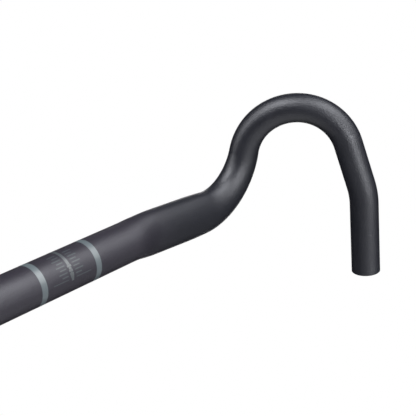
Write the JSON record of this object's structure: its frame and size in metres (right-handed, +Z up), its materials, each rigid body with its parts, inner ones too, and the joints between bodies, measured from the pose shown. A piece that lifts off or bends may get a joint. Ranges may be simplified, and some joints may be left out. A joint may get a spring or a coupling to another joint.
{
  "type": "drop handlebar",
  "caption": "Flared drop handlebar: one bent, butted aluminium tube with a round stem clamp zone, flattened swept tops and outward-leaning hooks, open at the ends.",
  "frame": {"origin": "centre of the round zone that the stem clamps, on the tube's axis", "axes": "+X along the clamp zone to the rider's right, +Y forward, +Z up, in the riding position"},
  "size_m": [0.5404, 0.1507, 0.1279],
  "materials": {
    "handlebar": "matte black, blasted and anodised"
  },
  "bodies": {
    "root": {"handlebar": "handlebar"}
  },
  "joints": []
}
